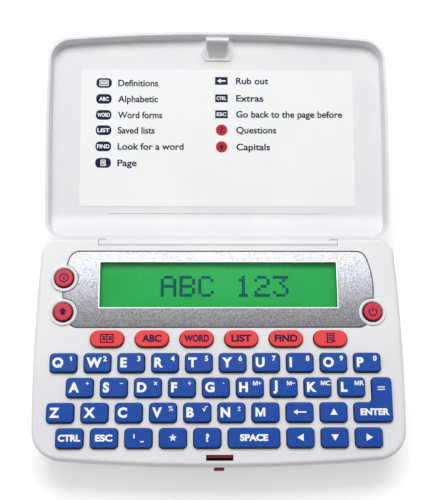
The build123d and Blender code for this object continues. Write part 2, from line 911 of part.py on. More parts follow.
# ================================================================ display
with BuildPart() as display_bezel:
    prism(bezel_outline, level(bezel_base_z), 0, bezel_seat + bezel_crown + bezel_edge)
    with BuildSketch(Plane.YZ):
        with BuildLine():
            edge_z = base_height + bezel_edge
            rear_foot = (bezel_rear_y, bezel_base_z)
            front_foot = (bezel_front_y, bezel_base_z)
            crown_top = (bezel_middle_y, edge_z + bezel_crown)
            ThreePointArc((bezel_rear_y, edge_z), crown_top, (bezel_front_y, edge_z))
            Polyline((bezel_front_y, edge_z), front_foot, rear_foot, (bezel_rear_y, edge_z))
        make_face()
    extrude(amount=base_width / 2, both=True, mode=Mode.INTERSECT)
    fillet(display_bezel.faces().sort_by(Axis.Z)[-1].edges(), bezel_edge_round)
    with BuildSketch(level(bezel_base_z)):
        with Locations((0, window_y)):
            RectangleRounded(window_width, window_depth, window_corner)
    extrude(amount=2 * top_wall, mode=Mode.SUBTRACT)
    chamfer(display_bezel.faces().sort_by(Axis.Z)[-1].inner_wires()[0].edges(), window_bevel)
    with BuildSketch(level(bezel_base_z)):
        with Locations((0, window_y)):
            pane_border_2 = 2 * (pane_border + pane_clearance)
            Rectangle(window_width + pane_border_2, window_depth + pane_border_2)
    extrude(amount=pane_thickness + pane_clearance, mode=Mode.SUBTRACT)
    round_pockets()
finish(display_bezel, "display_bezel")

with BuildPart() as display_window:
    with BuildSketch(level(bezel_base_z)):
        with Locations((0, window_y)):
            Rectangle(window_width + 2 * pane_border, window_depth + 2 * pane_border)
    extrude(amount=pane_thickness)
finish(display_window, "display_window")

with BuildPart() as lcd_module:
    with BuildSketch(level(glass_z)):
        with Locations((0, window_y)):
            Rectangle(glass_width, glass_depth)
    extrude(amount=glass_thickness)
    # flat connector that drops between board and compartment and folds under the board
    with BuildSketch(Plane.YZ):
        glass_front_y = window_y - glass_depth / 2
        flex_y = (wing_front_y + compartment_front_y + flex_thickness) / 2
        tail_z = board_z - key_play
        with BuildLine():
            Polyline(
                (glass_front_y + flex_room, glass_z + flex_thickness),
                (flex_y - flex_thickness, glass_z + flex_thickness),
                (flex_y - flex_thickness, tail_z),
                (wing_front_y - flex_tail, tail_z),
                (wing_front_y - flex_tail, tail_z - flex_thickness),
                (flex_y, tail_z - flex_thickness),
                (flex_y, glass_z),
                (glass_front_y + flex_room, glass_z),
                close=True,
            )
        make_face()
    extrude(amount=flex_width / 2, both=True)
finish(lcd_module, "lcd_module")


# ================================================================ board and key mat
with BuildPart() as circuit_board:
    prism(board_outline(0), level(board_z), 0, board_thickness)
    with BuildSketch(level(board_z)):
        with Locations(*screw_points):
            Circle(screw_radius + screw_clearance)
    extrude(amount=board_thickness, mode=Mode.SUBTRACT)
    with Locations((0, row_a, board_z)):
        Cylinder(chip_radius, chip_height, align=(Align.CENTER, Align.CENTER, Align.MAX))
    fillet(circuit_board.faces().sort_by(Axis.Z)[0].edges(), chip_height / 2)
finish(circuit_board, "circuit_board")

with BuildPart() as key_mat:
    prism(board_outline(mat_margin), level(board_top), 0, mat_thickness)
    with BuildSketch(level(board_top)):
        with Locations(*screw_points):
            Circle(boss_radius + seam_clearance)
    extrude(amount=mat_thickness, mode=Mode.SUBTRACT)
    dome_points = [(x, y, mat_top) for _, _, (x, y), _ in keys]
    hollow_points = [(x, y, board_top) for _, _, (x, y), _ in keys]
    dome_height = flange_z - key_play - mat_top
    upwards = (Align.CENTER, Align.CENTER, Align.MIN)
    with Locations(*dome_points):
        Cone(dome_base_radius, dome_top_radius, dome_height, align=upwards)
    with Locations(*hollow_points):
        Cone(
            dome_base_radius - dome_skin,
            dome_top_radius - dome_skin,
            dome_height,
            align=upwards,
            mode=Mode.SUBTRACT,
        )
finish(key_mat, "key_mat")


# ================================================================ batteries
with BuildPart() as battery_door:
    with BuildSketch(level(door_recess)):
        with Locations((0, compartment_y)):
            RectangleRounded(
                compartment_length + 2 * (door_border - door_clearance),
                compartment_depth + 2 * (door_border - door_clearance),
                door_corner - door_clearance,
            )
    extrude(amount=door_thickness)
    rib_y = (compartment_depth - compartment_wall) / 2 - door_clearance
    with BuildSketch(level(door_top)):
        with Locations((0, compartment_y + rib_y), (0, compartment_y - rib_y)):
            Rectangle(cell_length, compartment_wall)
    extrude(amount=door_rib_height)
    # finger grooves
    with BuildSketch(level(door_recess)):
        with Locations((0, compartment_y - compartment_depth / 4)):
            with GridLocations(grip_pitch, grip_pitch, 1, grip_count):
                SlotOverall(contact_size, grip_pitch / 2)
    extrude(amount=contact_thickness, mode=Mode.SUBTRACT)
finish(battery_door, "battery_door")

with BuildPart() as batteries:
    for side, row in zip((1, -1), cell_rows):
        shell_middle = -side * nub_length / 2
        along_x = Plane((shell_middle, compartment_y + row, cell_z), z_dir=(side, 0, 0))
        with BuildSketch(along_x):
            Circle(cell_radius)
        extrude(amount=(cell_length - nub_length) / 2, both=True)
        with BuildSketch(along_x):
            Circle(nub_radius)
        extrude(amount=(cell_length + nub_length) / 2)
    fillet(batteries.edges().filter_by(GeomType.CIRCLE).group_by(SortBy.RADIUS)[-1], nub_length / 2)
finish(batteries, "batteries")


def contact_plate(side, rows):
    """Flat plate against an end wall, behind one cell or behind both."""
    plate_x = side * (compartment_length / 2 - contact_thickness / 2 - key_play)
    middle = sum(rows) / len(rows)
    span = max(rows) - min(rows) + contact_size
    with Locations((plate_x, compartment_y + middle, cell_z)):
        Box(contact_thickness, span, contact_size)


def contact_end(side, row, positive):
    """Dimple for a cell's nub, or bowed leaf for its flat end."""
    root = compartment_length / 2 - contact_thickness - key_play
    tip = cell_length / 2 + key_play
    y = compartment_y + row
    if positive:
        with BuildSketch(Plane((side * root, y, cell_z), z_dir=(-side, 0, 0))) as dimple:
            Circle(nub_radius)
        extrude(dimple.sketch, amount=root - tip)
    else:
        with BuildSketch(Plane.XZ.offset(-y)) as leaf:
            with BuildLine():
                Polyline(
                    (side * root, cell_z + contact_size / 2),
                    (side * tip, cell_z),
                    (side * root, cell_z - contact_size / 2),
                    (side * root, cell_z - contact_size / 2 + 2 * contact_thickness),
                    (side * (tip + contact_thickness), cell_z),
                    (side * root, cell_z + contact_size / 2 - 2 * contact_thickness),
                    close=True,
                )
            make_face()
        extrude(leaf.sketch, amount=contact_size / 4, both=True)


with BuildPart() as battery_contacts:
    contact_plate(-1, cell_rows)
    contact_plate(1, cell_rows[:1])
    contact_plate(1, cell_rows[1:])
    contact_end(1, cell_rows[0], True)
    contact_end(-1, cell_rows[0], False)
    contact_end(-1, cell_rows[1], True)
    contact_end(1, cell_rows[1], False)
finish(battery_contacts, "battery_contacts")


# ================================================================ screws
with BuildPart() as case_screws:
    with BuildSketch(level(head_seat)):
        with Locations(*screw_points):
            Circle(screw_head_radius)
    extrude(amount=-screw_head_height)
    with BuildSketch(level(head_seat)):
        with Locations(*screw_points):
            Circle(screw_radius)
    extrude(amount=screw_length)
    with BuildSketch(level(head_seat - screw_head_height)):
        with Locations(*screw_points):
            Rectangle(2 * screw_radius, screw_slot)
            Rectangle(screw_slot, 2 * screw_radius)
    extrude(amount=screw_head_height / 2, mode=Mode.SUBTRACT)
finish(case_screws, "case_screws")
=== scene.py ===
import json
import math

import bmesh
import bpy
from mathutils import Matrix, Vector


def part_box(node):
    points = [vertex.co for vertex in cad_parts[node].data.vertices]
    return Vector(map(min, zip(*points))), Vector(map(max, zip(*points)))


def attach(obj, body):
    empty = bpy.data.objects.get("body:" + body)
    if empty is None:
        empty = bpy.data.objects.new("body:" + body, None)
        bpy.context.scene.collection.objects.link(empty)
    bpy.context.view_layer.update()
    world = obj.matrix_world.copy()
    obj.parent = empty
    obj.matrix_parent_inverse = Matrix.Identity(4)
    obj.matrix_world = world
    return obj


MM = 0.001
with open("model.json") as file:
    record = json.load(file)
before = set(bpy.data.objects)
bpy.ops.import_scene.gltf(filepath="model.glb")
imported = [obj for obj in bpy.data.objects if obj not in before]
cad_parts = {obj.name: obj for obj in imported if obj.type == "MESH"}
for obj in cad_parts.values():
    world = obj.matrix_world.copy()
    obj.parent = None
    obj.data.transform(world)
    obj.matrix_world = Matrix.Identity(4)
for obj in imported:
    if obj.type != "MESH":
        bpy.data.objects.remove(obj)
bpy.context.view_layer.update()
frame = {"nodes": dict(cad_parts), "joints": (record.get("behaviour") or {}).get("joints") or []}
nodes = frame["nodes"]
scene = bpy.context.scene


# ---------------------------------------------------------------- materials
def new_material(name):
    material = bpy.data.materials.new(name)
    material.use_nodes = True
    tree = material.node_tree
    return material, tree, tree.nodes["Principled BSDF"]


def noise(tree, scale, detail=3.0, roughness=0.55):
    coordinates = tree.nodes.new("ShaderNodeTexCoord")
    node = tree.nodes.new("ShaderNodeTexNoise")
    node.inputs["Scale"].default_value = scale
    node.inputs["Detail"].default_value = detail
    node.inputs["Roughness"].default_value = roughness
    tree.links.new(coordinates.outputs["Object"], node.inputs["Vector"])
    return node


def mix_colour(tree, factor, low, high):
    node = tree.nodes.new("ShaderNodeMix")
    node.data_type = "RGBA"
    for index, value in ((6, low), (7, high)):
        if isinstance(value, tuple):
            node.inputs[index].default_value = (*value, 1.0)
        else:
            tree.links.new(value, node.inputs[index])
    tree.links.new(factor, node.inputs[0])
    return node.outputs[2]


def span(tree, value, from_low, from_high, to_low, to_high):
    node = tree.nodes.new("ShaderNodeMapRange")
    for name, number in (
        ("From Min", from_low),
        ("From Max", from_high),
        ("To Min", to_low),
        ("To Max", to_high),
    ):
        node.inputs[name].default_value = number
    tree.links.new(value, node.inputs["Value"])
    return node.outputs["Result"]


def bump(tree, shader, height, strength, distance):
    node = tree.nodes.new("ShaderNodeBump")
    node.inputs["Strength"].default_value = strength
    node.inputs["Distance"].default_value = distance
    tree.links.new(height, node.inputs["Height"])
    tree.links.new(node.outputs["Normal"], shader.inputs["Normal"])


def moulded(name, low, high, rough=(0.34, 0.46), grain=5200.0, relief=0.12, level=0.5):
    """Moulded plastic: slow shade drift, fine sparked grain and uneven gloss."""
    material, tree, shader = new_material(name)
    drift = noise(tree, 42.0, 4.0)
    shade = span(tree, drift.outputs["Fac"], 0.35, 0.65, 0.0, 1.0)
    colour = mix_colour(tree, shade, low, high)
    tree.links.new(colour, shader.inputs["Base Color"])
    gloss = noise(tree, 320.0, 3.0)
    roughness = span(tree, gloss.outputs["Fac"], 0.3, 0.7, *rough)
    tree.links.new(roughness, shader.inputs["Roughness"])
    bump(tree, shader, noise(tree, grain, 2.0).outputs["Fac"], relief, 0.00004)
    shader.inputs["Specular IOR Level"].default_value = level
    return material


def keycap(name, edge, top, rough=(0.26, 0.36)):
    """Moulded key with painted shade: its flanks are painted darker than the top, which is polished and
    slightly mottled.
    """
    material, tree, shader = new_material(name)
    coordinates = tree.nodes.new("ShaderNodeTexCoord")
    parts = tree.nodes.new("ShaderNodeSeparateXYZ")
    tree.links.new(coordinates.outputs["Normal"], parts.inputs["Vector"])
    # painted shade: faces that turn away from straight up take the darker flank colour, faces that look up
    # take the top colour
    painted_shade_facing = span(tree, parts.outputs["Z"], 0.55, 0.99, 0.0, 1.0)
    mottle = noise(tree, 380.0, 3.0)
    top_low = tuple(channel * 0.98 for channel in top)
    top_colour = mix_colour(tree, mottle.outputs["Fac"], top_low, top)
    colour = mix_colour(tree, painted_shade_facing, edge, top_colour)
    tree.links.new(colour, shader.inputs["Base Color"])
    roughness = span(tree, mottle.outputs["Fac"], 0.3, 0.7, *rough)
    tree.links.new(roughness, shader.inputs["Roughness"])
    bump(tree, shader, noise(tree, 6500.0, 2.0).outputs["Fac"], 0.10, 0.00003)
    shader.inputs["Specular IOR Level"].default_value = 0.25
    return material


def flake_paint(name):
    """Silver paint with fine aluminium flakes under a thin lacquer."""
    material, tree, shader = new_material(name)
    coordinates = tree.nodes.new("ShaderNodeTexCoord")
    flakes = tree.nodes.new("ShaderNodeTexVoronoi")
    flakes.inputs["Scale"].default_value = 4000.0
    tree.links.new(coordinates.outputs["Object"], flakes.inputs["Vector"])
    grains = tree.nodes.new("ShaderNodeSeparateColor")
    tree.links.new(flakes.outputs["Color"], grains.inputs["Color"])
    sparkle = span(tree, grains.outputs["Red"], 0.1, 0.95, 0.0, 1.0)
    colour = mix_colour(tree, sparkle, (0.165, 0.17, 0.19), (0.375, 0.38, 0.405))
    tree.links.new(colour, shader.inputs["Base Color"])
    shader.inputs["Metallic"].default_value = 0.9
    gloss = span(tree, noise(tree, 1400.0, 3.0).outputs["Fac"], 0.3, 0.7, 0.32, 0.38)
    tree.links.new(gloss, shader.inputs["Roughness"])
    bump(tree, shader, grains.outputs["Green"], 0.22, 0.00002)
    return material


def liquid_crystal(name):
    """Green reflective display glass with a faint, uneven tint."""
    material, tree, shader = new_material(name)
    drift = noise(tree, 26.0, 5.0, 0.6)
    shade = span(tree, drift.outputs["Fac"], 0.3, 0.7, 0.0, 1.0)
    colour = mix_colour(tree, shade, (0.012, 0.47, 0.078), (0.030, 0.60, 0.125))
    tree.links.new(colour, shader.inputs["Base Color"])
    roughness = span(tree, noise(tree, 2500.0, 2.0).outputs["Fac"], 0.3, 0.7, 0.30, 0.42)
    tree.links.new(roughness, shader.inputs["Roughness"])
    bump(tree, shader, noise(tree, 2100.0, 2.0).outputs["Fac"], 0.05, 0.00002)
    shader.inputs["Specular IOR Level"].default_value = 0.12
    return material


def clear_sheet(name):
    """Clear acrylic pane with faint haze."""
    material, tree, shader = new_material(name)
    haze = noise(tree, 60.0, 3.0)
    colour = mix_colour(tree, haze.outputs["Fac"], (0.02, 0.16, 0.06), (0.04, 0.20, 0.08))
    tree.links.new(colour, shader.inputs["Base Color"])
    shader.inputs["Alpha"].default_value = 0.08
    shader.inputs["Specular IOR Level"].default_value = 0.3
    roughness = span(tree, haze.outputs["Fac"], 0.3, 0.7, 0.03, 0.07)
    tree.links.new(roughness, shader.inputs["Roughness"])
    return material


def metal(name, low, high, rough, grain=1500.0):
    material, tree, shader = new_material(name)
    wear = noise(tree, grain, 4.0)
    colour = mix_colour(tree, wear.outputs["Fac"], low, high)
    tree.links.new(colour, shader.inputs["Base Color"])
    shader.inputs["Metallic"].default_value = 1.0
    tree.links.new(span(tree, wear.outputs["Fac"], 0.3, 0.7, *rough), shader.inputs["Roughness"])
    bump(tree, shader, wear.outputs["Fac"], 0.12, 0.00003)
    return material


case_white = moulded("case_white", (0.775, 0.775, 0.805), (0.815, 0.815, 0.84))
door_white = moulded("door_white", (0.76, 0.76, 0.79), (0.80, 0.80, 0.825))
silver = flake_paint("silver_flake")
# light metal for the strip round the display opening: real metallic reflection, with its pale colour a
# painted highlight of the bevel
highlight_silver = metal("highlight_silver", (0.80, 0.80, 0.82), (0.88, 0.88, 0.90), (0.42, 0.55), 2600.0)
window_clear = clear_sheet("window_clear")
lcd_green = liquid_crystal("lcd_green")
lcd_dots = moulded("lcd_dots", (0.0, 0.075, 0.12), (0.001, 0.095, 0.145), (0.3, 0.4), 3000.0, 0.04, 0.1)
# each key's first colour is the painted shade of its flanks, the second is its top colour
blue_key = keycap("blue_key", (0.003, 0.025, 0.12), (0.003, 0.066, 0.385))
red_key = keycap("red_key", (0.38, 0.008, 0.012), (0.85, 0.050, 0.054))
crimson_key = keycap("crimson_key", (0.16, 0.003, 0.010), (0.64, 0.026, 0.058))
latch_red = moulded("latch_red", (0.22, 0.004, 0.012), (0.30, 0.006, 0.018), (0.3, 0.42))
INK_GLOSS, INK_GRAIN = (0.4, 0.5), 2600.0
legend_white = moulded("legend_white", (0.93, 0.94, 0.97), (0.97, 0.98, 1.0), INK_GLOSS, INK_GRAIN, 0.04)
legend_navy = moulded(
    "legend_navy", (0.012, 0.003, 0.045), (0.018, 0.004, 0.06), INK_GLOSS, INK_GRAIN, 0.04, 0.15
)
ink_navy = moulded(
    "ink_navy", (0.002, 0.006, 0.050), (0.004, 0.008, 0.062), INK_GLOSS, INK_GRAIN, 0.03, 0.15
)
ink_red = moulded(
    "ink_red", (0.52, 0.008, 0.026), (0.58, 0.012, 0.034), INK_GLOSS, INK_GRAIN, 0.03, 0.2
)
label_film = moulded("label_film", (0.875, 0.90, 0.895), (0.905, 0.925, 0.92), (0.42, 0.5), 2400.0, 0.05)
board_green = moulded("board_green", (0.012, 0.13, 0.04), (0.02, 0.19, 0.06), (0.3, 0.4), 900.0, 0.2)
mat_grey = moulded("mat_grey", (0.36, 0.36, 0.38), (0.42, 0.42, 0.44), (0.6, 0.75), 2200.0, 0.2)
cell_dark = moulded("cell_dark", (0.05, 0.055, 0.07), (0.075, 0.08, 0.10), (0.25, 0.35), 700.0, 0.05)
nickel = metal("nickel", (0.62, 0.60, 0.55), (0.74, 0.72, 0.67), (0.22, 0.36))
zinc = metal("zinc", (0.42, 0.42, 0.43), (0.56, 0.56, 0.57), (0.3, 0.45))


def dress(node, material):
    """Gives every material slot of a CAD node one material."""
    mesh = nodes[node].data
    if not mesh.materials:
        mesh.materials.append(material)
    for index in range(len(mesh.materials)):
        mesh.materials[index] = material


ovals = ("key_book", "key_abc", "key_word", "key_list", "key_find", "key_page")
rounds = ("key_info", "key_shift", "key_power")
looks = {
    "lower_case": case_white,
    "upper_case": case_white,
    "lid": case_white,
    "battery_door": door_white,
    "display_bezel": silver,
    "display_window": window_clear,
    "lcd_module": lcd_green,
    "circuit_board": board_green,
    "key_mat": mat_grey,
    "batteries": cell_dark,
    "battery_contacts": nickel,
    "latch_button": latch_red,
    "case_screws": zinc,
}
for node in nodes:
    if node in ovals:
        dress(node, red_key)
    elif node in rounds:
        dress(node, crimson_key)
    else:
        dress(node, looks.get(node, blue_key))


# ---------------------------------------------------------------- flat printed shapes
def link(name, mesh, material):
    mesh.materials.clear()
    mesh.materials.append(material)
    piece = bpy.data.objects.new(name, mesh)
    scene.collection.objects.link(piece)
    return piece


def letters(text, bold):
    """Outline of a word in the built-in font, one unit high, as a flat mesh."""
    curve = bpy.data.curves.new("letters", "FONT")
    curve.body = text
    curve.offset = bold
    curve.resolution_u = 6
    holder = bpy.data.objects.new("letters", curve)
    scene.collection.objects.link(holder)
    bpy.context.view_layer.update()
    graph = bpy.context.evaluated_depsgraph_get()
    mesh = bpy.data.meshes.new_from_object(holder.evaluated_get(graph))
    bpy.data.objects.remove(holder)
    bpy.data.curves.remove(curve)
    return mesh


def mesh_box(mesh):
    xs = [vertex.co.x for vertex in mesh.vertices]
    ys = [vertex.co.y for vertex in mesh.vertices]
    return min(xs), max(xs), min(ys), max(ys)


cap_low, cap_high = mesh_box(letters("H", 0.0))[2:]
CAP = cap_high - cap_low


class Print:
    """Collects flat shapes, in millimetres, on a plane that lies on the object."""

    def __init__(self, to_object, thickness=0.03):
        self.grid = bmesh.new()
        self.to_object = to_object
        self.thickness = thickness

    def word(self, text, x, y, cap, bold=0.03, width=None, left=False, centred=True):
        mesh = letters(text, bold)
        low_x, high_x, low_y, high_y = mesh_box(mesh)
        size = cap / CAP
        across = width / (high_x - low_x) if width else size
        anchor_x = low_x if left else (low_x + high_x) / 2
        anchor_y = (low_y + high_y) / 2 if centred else (cap_low + cap_high) / 2
        start = len(self.grid.verts)
        self.grid.from_mesh(mesh)
        self.grid.verts.ensure_lookup_table()
        for vertex in self.grid.verts[start:]:
            vertex.co.x = x + (vertex.co.x - anchor_x) * across
            vertex.co.y = y + (vertex.co.y - anchor_y) * size
        bpy.data.meshes.remove(mesh)

    def shape(self, points):
        self.grid.faces.new([self.grid.verts.new((x, y, 0.0)) for x, y in points])

    def bar(self, x0, y0, x1, y1):
        self.shape([(x0, y0), (x1, y0), (x1, y1), (x0, y1)])

    def capital_m(self, x, y, cap, stroke):
        """Letter M as one outline, centred on x and y."""
        half, foot = cap * 0.54, cap / 2  # half the width, half the height
        inner = half - stroke
        notch = foot - cap * 0.30
        right_side = [
            (stroke / 2, -foot),
            (inner, notch),
            (inner, -foot),
            (half, -foot),
            (half, foot),
            (inner - stroke * 0.15, foot),
        ]
        left_side = [(-across, high) for across, high in reversed(right_side)]
        outline = right_side + [(0.0, cap * 0.38 - foot)] + left_side
        self.shape([(x + across, y + high) for across, high in outline])

    def star(self, x, y, arms, radius, stroke, start=90.0):
        """Asterisk: straight arms that meet in the middle, as one outline."""
        root = stroke / 2 / math.sin(math.pi / arms)
        points = []
        for arm in range(arms):
            a = math.radians(start) + 2 * math.pi * arm / arms
            across = Vector((-math.sin(a), math.cos(a))) * stroke / 2
            tip = Vector((math.cos(a), math.sin(a))) * radius
            between = a + math.pi / arms
            for point in (tip - across, tip + across, Vector((math.cos(between), math.sin(between))) * root):
                points.append((x + point.x, y + point.y))
        self.shape(points)

    def arrow(self, x, y, turn, tip, neck, tail, half_head, half_shaft):
        """Arrow as one outline; tip, neck and tail are measured from x and y along it."""
        along = Vector((math.cos(math.radians(turn)), math.sin(math.radians(turn))))
        across = Vector((-along.y, along.x))
        side = [(neck, half_head), (neck, half_shaft), (tail, half_shaft)]
        other_side = [(reach, -out) for reach, out in reversed(side)]
        outline = [along * reach + across * out for reach, out in [(tip, 0.0)] + side + other_side]
        self.shape([(x + point.x, y + point.y) for point in outline])

    def disc(self, x, y, radius, steps=40):
        turns = [2 * math.pi * step / steps for step in range(steps)]
        self.shape([(x + radius * math.cos(a), y + radius * math.sin(a)) for a in turns])

    def ring(self, x, y, inner, outer, start=0.0, stop=360.0, steps=40):
        for step in range(steps):
            a = math.radians(start + (stop - start) * step / steps)
            b = math.radians(start + (stop - start) * (step + 1) / steps)
            self.shape(
                [
                    (x + inner * math.cos(a), y + inner * math.sin(a)),
                    (x + outer * math.cos(a), y + outer * math.sin(a)),
                    (x + outer * math.cos(b), y + outer * math.sin(b)),
                    (x + inner * math.cos(b), y + inner * math.sin(b)),
                ]
            )

    def rounded(self, x, y, width, height, radius, steps=8):
        points = []
        for cx, cy, start in ((1, 1, 0), (-1, 1, 90), (-1, -1, 180), (1, -1, 270)):
            for step in range(steps + 1):
                a = math.radians(start + 90 * step / steps)
                points.append(
                    (
                        x + cx * (width / 2 - radius) + radius * math.cos(a),
                        y + cy * (height / 2 - radius) + radius * math.sin(a),
                    )
                )
        self.shape(points)

    def finish(self, name, material, body, lift=None):
        bmesh.ops.remove_doubles(self.grid, verts=self.grid.verts[:], dist=0.0005)
        for face in self.grid.faces:
            face.smooth = False
            if face.normal.z < 0:
                face.normal_flip()
        self.grid.normal_update()
        made = bmesh.ops.extrude_face_region(self.grid, geom=self.grid.faces[:])
        top = [item for item in made["geom"] if isinstance(item, bmesh.types.BMVert)]
        bmesh.ops.translate(self.grid, verts=top, vec=(0, 0, self.thickness))
        bmesh.ops.recalc_face_normals(self.grid, faces=self.grid.faces[:])
        mesh = bpy.data.meshes.new(name)
        self.grid.to_mesh(mesh)
        self.grid.free()
        mesh.transform(self.to_object @ Matrix.Scale(MM, 4))
        if lift:
            for vertex in mesh.vertices:
                vertex.co.z += lift(vertex.co.y)
        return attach(link(name, mesh, material), body)


# ---------------------------------------------------------------- legends on the keys
BIG, SMALL, WORD = 3.15, 1.7, 2.1
LETTER_LEFT, RAISED_X, RAISED_Y = -3.8, 2.7, 1.35
KEY_WEIGHT, RAISED_WEIGHT, PERCENT_WEIGHT = 0.045, 0.035, 0.005


def key_print(node, clearance=0.01):
    low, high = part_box(node)
    centre = Vector(((low[0] + high[0]) / 2, (low[1] + high[1]) / 2, high[2] + clearance * MM))
    return Print(Matrix.Translation(centre))


def raised_signs(target, text):
    """Small calculator signs at the upper right of a letter key."""
    x, y = RAISED_X, RAISED_Y
    arm, half = 0.55, 0.13  # reach of a stroke and half its width
    if text in ("+", "÷", "±", "-", "M+", "M-"):
        middle = x + 0.75 if text[0] == "M" else x
        height = y + 0.2 if text == "±" else y
        target.bar(middle - arm, height - half, middle + arm, height + half)
        if text[-1] in "+±":
            target.bar(middle - half, height + half, middle + half, height + arm)
            target.bar(middle - half, height - arm, middle + half, height - half)
        if text == "±":
            target.bar(x - arm, y - 0.85, x + arm, y - 0.6)
        if text == "÷":
            target.disc(x, y + 0.48, 0.19, 14)
            target.disc(x, y - 0.48, 0.19, 14)
    if text == "×":
        target.star(x, y, 4, 0.72, 0.32, 45.0)
    if text == ".":
        target.disc(x, y, 0.22, 14)
    if text[0] == "M":
        target.capital_m(x - 0.75, y, 1.55, 0.34)
    if text in ("MC", "MR"):
        target.word(text[1], x + 1.0, y, 1.55)


signs = {
    "q": "1", "w": "2", "e": "3", "r": "4", "t": "5", "y": "6", "u": "7", "i": "8", "o": "9", "p": "0",
    "a": "+", "s": "-", "d": "×", "f": "÷", "g": ".", "h": "M+", "j": "M-", "k": "MC", "l": "MR",
    "z": "", "x": "", "c": "", "v": "%", "b": "", "n": "±", "m": "",
}
for letter, raised in signs.items():
    legend = key_print(f"key_{letter}")
    if letter == "m":
        legend.capital_m(-1.85, 0.0, BIG, 0.66)
    elif letter == "q":
        legend.word("O", LETTER_LEFT, -0.05, BIG, KEY_WEIGHT, left=True)
        tail = key_print("key_q")
        tail.thickness = 0.04
        tail.shape([(-2.05, -0.8), (-1.65, -0.4), (-0.4, -1.5), (-0.85, -1.85)])
        tail.finish("legend_q_tail", legend_white, "key_q")
    else:
        legend.word(letter.upper(), LETTER_LEFT, -0.05, BIG, KEY_WEIGHT, left=True)
    if raised == "1":
        flag = [(2.65, 2.15), (2.2, 1.75), (2.2, 1.4), (2.55, 1.6)]
        legend.shape([(2.55, 0.55), (3.0, 0.55), (3.0, 2.15)] + flag)
    elif raised.isdigit() or raised == "%":
        weight = PERCENT_WEIGHT if raised == "%" else RAISED_WEIGHT
        legend.word(raised, RAISED_X, RAISED_Y, SMALL, weight)
    elif raised:
        raised_signs(legend, raised)
    if letter == "b":
        legend.shape([(1.8, 1.3), (2.15, 1.5), (2.5, 0.8), (2.5, 0.35), (2.3, 0.35)])
        roof = [(2.85, 2.15), (3.6, 2.15), (3.6, 1.88), (3.05, 1.88)]
        legend.shape([(2.5, 0.35), (2.5, 0.8)] + roof + [(2.7, 0.35)])
    legend.finish(f"legend_{letter}", legend_white, f"key_{letter}")

worded = {
    "ctrl": ("CTRL", 7.8),
    "esc": ("ESC", 6.0),
    "space": ("SPACE", 9.8),
}
for key, (text, width) in worded.items():
    legend = key_print(f"key_{key}")
    legend.word(text, 0.0, 0.0, WORD, KEY_WEIGHT, width)
    legend.finish(f"legend_{key}", legend_white, f"key_{key}")

legend = key_print("key_star")
legend.star(0.0, 0.0, 5, 1.15, 0.5)
legend.finish("legend_star", legend_white, "key_star")
legend = key_print("key_question")
legend.word("?", 0.0, 0.0, 2.5, KEY_WEIGHT)
legend.finish("legend_question", legend_white, "key_question")

legend = key_print("key_apostrophe")
legend.bar(-1.75, -0.1, -1.3, 1.3)
legend.bar(0.65, -1.5, 1.9, -1.1)
legend.finish("legend_apostrophe", legend_white, "key_apostrophe")

for key, turn in (("up", 90), ("left", 180), ("down", 270), ("right", 0)):
    legend = key_print(f"key_{key}")
    a = math.radians(turn)
    corners = [(1.25, 0.0), (-1.0, 1.3), (-1.0, -1.3)]
    legend.shape(
        [(x * math.cos(a) - y * math.sin(a), x * math.sin(a) + y * math.cos(a)) for x, y in corners]
    )
    legend.finish(f"legend_{key}", legend_white, f"key_{key}")

legend = key_print("key_backspace")
legend.arrow(0.0, 0.0, 180, tip=2.3, neck=0.8, tail=-2.3, half_head=0.95, half_shaft=0.24)
legend.finish("legend_backspace", legend_white, "key_backspace")

legend = key_print("key_enter")
legend.word("ENTER", 0.45, -4.45, WORD, KEY_WEIGHT, 10.2)
legend.bar(1.7, 3.3, 4.4, 3.62)
legend.bar(1.7, 4.2, 4.4, 4.52)
legend.finish("legend_enter", legend_white, "key_enter")

for key, width in (("abc", 6.9), ("word", 8.9), ("list", 7.2), ("find", 8.2)):
    legend = key_print(f"key_{key}")
    legend.word(key.upper(), 0.0, 0.0, 2.35, 0.04, width)
    legend.finish(f"legend_{key}", legend_navy, f"key_{key}")


def open_book(target, x, y, scale, stroke):
    """Open book seen from the front, drawn with strokes."""
    w, h = 2.0 * scale, 1.5 * scale
    for side in (-1, 1):
        spine, edge = x, x + side * w
        low, high = min(spine, edge), max(spine, edge)
        target.bar(low, y - h, high, y - h + stroke)
        target.bar(low, y + h - stroke, high, y + h)
        target.bar(edge - stroke / 2, y - h, edge + stroke / 2, y + h)
        for line in (-0.45, 0.05, 0.55):
            height = y + line * scale
            target.bar(low + 0.5 * scale, height - stroke / 2, high - 0.4 * scale, height + stroke / 2)
    target.bar(x - stroke / 2, y - h, x + stroke / 2, y + h)


def written_page(target, x, y, scale, stroke):
    """Sheet with lines of writing and a turned corner."""
    w, h = 1.35 * scale, 1.7 * scale
    target.bar(x - w, y - h, x - w + stroke, y + h)
    target.bar(x + w - stroke, y - h + 1.2 * scale, x + w, y + h)
    target.bar(x - w, y + h - stroke, x + w, y + h)
    target.bar(x - w, y - h, x + w - 0.9 * scale, y - h + stroke)
    target.shape(
        [
            (x + w - 0.9 * scale, y - h),
            (x + w + 0.5 * scale, y - h + 0.5 * scale),
            (x + w - stroke, y - h + 1.2 * scale),
            (x + w - 0.9 * scale, y - h + 0.9 * scale),
        ]
    )
    indent = w - 0.5 * scale
    for line in (-0.6, 0.1, 0.8):
        height = y + line * scale
        target.bar(x - indent, height - stroke / 2, x + indent, height + stroke / 2)


legend = key_print("key_book")
open_book(legend, 0.0, 0.0, 1.1, 0.42)
legend.finish("legend_book", legend_navy, "key_book")
legend = key_print("key_page")
written_page(legend, 0.0, 0.05, 1.05, 0.42)
legend.finish("legend_page", legend_navy, "key_page")

